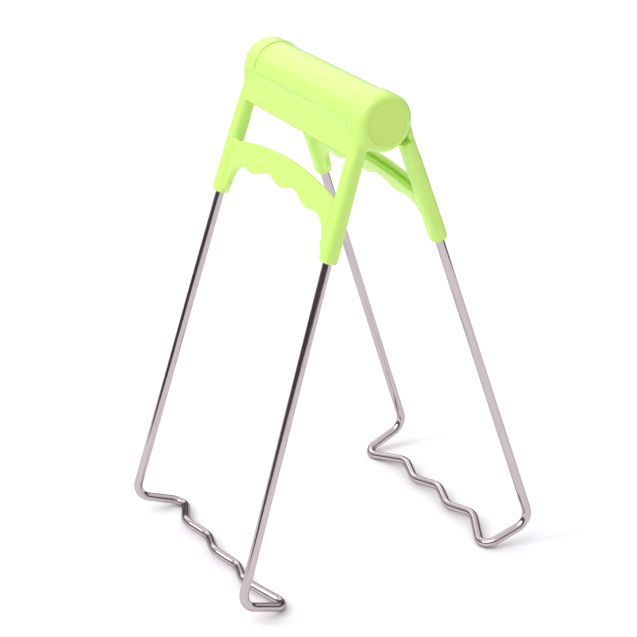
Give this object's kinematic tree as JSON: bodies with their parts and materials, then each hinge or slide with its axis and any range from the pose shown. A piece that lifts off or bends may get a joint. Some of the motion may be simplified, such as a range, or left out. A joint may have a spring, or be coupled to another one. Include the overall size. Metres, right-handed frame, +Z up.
{
  "type": "jar lifter",
  "caption": "Folding wire jar lifter: splayed bent-rod jaws with wavy inward feet, hinged under a rounded moulded grip with scalloped finger bars, sprung to stand open.",
  "frame": {"origin": "on the surface it stands on, midway between the two feet and midway along the grip", "axes": "+Z up; +X along the hinge axis, towards the right end cap; +Y towards the rear jaw, so the front jaw faces -Y"},
  "size_m": [0.1032, 0.1318, 0.1984],
  "materials": {
    "grip_plastic": "gloss, lime green, slightly translucent",
    "polished_wire": "polished, drawn along its length",
    "axle_steel": "satin",
    "spring_steel": "satin"
  },
  "bodies": {
    "front_frame": {"front_handle": "grip_plastic", "front_wire_jaw": "polished_wire", "left_end_cap": "grip_plastic", "right_end_cap": "grip_plastic", "hinge_axle": "axle_steel", "torsion_spring": "spring_steel"},
    "rear_frame": {"rear_handle": "grip_plastic", "rear_wire_jaw": "polished_wire"}
  },
  "joints": [
    {"name": "jaw_hinge", "type": "hinge", "parent": "front_frame", "child": "rear_frame", "pos_m": [0, 0, 0.18736], "axis": [-1, 0, 0], "range_deg": [0, 26.6], "stiffness_Nm_per_rad": 0.08, "springref_deg": -34.38}
  ]
}
